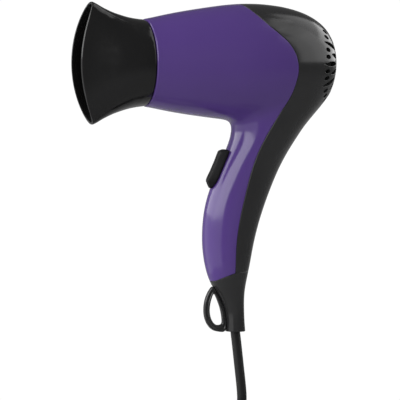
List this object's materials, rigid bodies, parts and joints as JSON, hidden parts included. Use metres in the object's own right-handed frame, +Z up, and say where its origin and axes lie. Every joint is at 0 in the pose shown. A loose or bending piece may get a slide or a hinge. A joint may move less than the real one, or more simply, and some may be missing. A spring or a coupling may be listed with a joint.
{
  "type": "hair dryer",
  "caption": "Hand-held hair dryer: rounded barrel with a flared concentrator nozzle, curved handle with slide switch and hanging loop, fan and heater inside, coiled mains cord.",
  "frame": {"origin": "middle of the hand grip, on the object's middle plane", "axes": "+Z up with the handle hanging down from the barrel, -X the way the air blows out of the nozzle, +Y across the barrel"},
  "size_m": [0.2158, 0.1212, 0.3323],
  "materials": {
    "purple_shell": "gloss purple moulded plastic",
    "black_shell": "satin gloss black moulded plastic",
    "black_trim": "satin black moulded plastic",
    "nozzle_black": "smooth black moulded plastic",
    "heat_plastic": "matt heat-resistant plastic",
    "spring_steel": "plain steel",
    "mica": "pressed mica sheet with flakes",
    "heater_wire": "drawn nickel-chrome ribbon",
    "ceramic_white": "unglazed ceramic",
    "motor_steel": "zinc plated steel",
    "switch_plastic": "natural nylon",
    "magnet": "sintered ferrite",
    "brass_contact": "stamped brass",
    "carbon": "matt black carbon and epoxy",
    "copper_wire": "enamelled copper",
    "fan_plastic": "moulded nylon",
    "switch_black": "satin black with a fine texture",
    "board_green": "laminate board",
    "capacitor_yellow": "dipped resin",
    "lead_brown": "PVC insulation",
    "lead_blue": "PVC insulation",
    "lead_red": "PVC insulation",
    "cord_black": "flexible PVC sheath",
    "tie_fabric": "woven hook-and-loop tape",
    "plug_black": "moulded PVC",
    "pin_nickel": "nickel plated brass"
  },
  "bodies": {
    "root": {"front_shell": "purple_shell", "rear_shell": "black_shell", "end_cap": "black_trim", "hang_loop": "black_trim", "outlet_grille": "heat_plastic", "mica_tube": "mica", "mica_board_upright": "mica", "mica_board_flat": "mica", "heater_coils": "heater_wire", "thermostat": "ceramic_white", "thermal_fuse": "spring_steel", "fan_housing": "heat_plastic", "motor_can": "motor_steel", "motor_end_cap": "switch_plastic", "motor_magnets": "magnet", "motor_bushes": "brass_contact", "motor_brushes": "carbon", "intake_screen": "heat_plastic", "switch_body": "switch_plastic", "switch_terminals": "brass_contact", "circuit_board": "board_green", "diodes": "carbon", "capacitor": "capacitor_yellow", "live_lead": "lead_brown", "neutral_lead": "lead_blue", "switched_lead": "lead_red", "case_screws": "spring_steel", "cord_clamp": "heat_plastic", "clamp_screws": "spring_steel", "cord_sleeve": "cord_black", "power_cord": "cord_black", "cord_coil": "cord_black", "cord_tie": "tie_fabric", "plug_lead": "cord_black", "plug_body": "plug_black", "plug_pins": "pin_nickel"},
    "snap_ring": {"nozzle_snap_ring": "spring_steel"},
    "nozzle": {"concentrator_nozzle": "nozzle_black"},
    "switch": {"switch_slider": "switch_black", "contact_carrier": "switch_plastic"},
    "rotor": {"motor_shaft": "spring_steel", "armature_core": "motor_steel", "armature_windings": "copper_wire", "commutator": "copper_wire", "impeller": "fan_plastic"}
  },
  "joints": [
    {"name": "nozzle_pull", "type": "slide", "parent": "root", "child": "snap_ring", "axis": [-1, 0, 0], "range_m": [0, 0.014]},
    {"name": "nozzle_turn", "type": "hinge", "parent": "snap_ring", "child": "nozzle", "pos_m": [-0.085, 0, 0.116], "axis": [1, 0, 0], "continuous": true},
    {"name": "switch_slide", "type": "slide", "parent": "root", "child": "switch", "axis": [0.3972, 0, 0.9178], "range_m": [0, 0.008]},
    {"name": "rotor_spin", "type": "hinge", "parent": "root", "child": "rotor", "pos_m": [0.028, 0, 0.116], "axis": [1, 0, 0], "continuous": true}
  ]
}
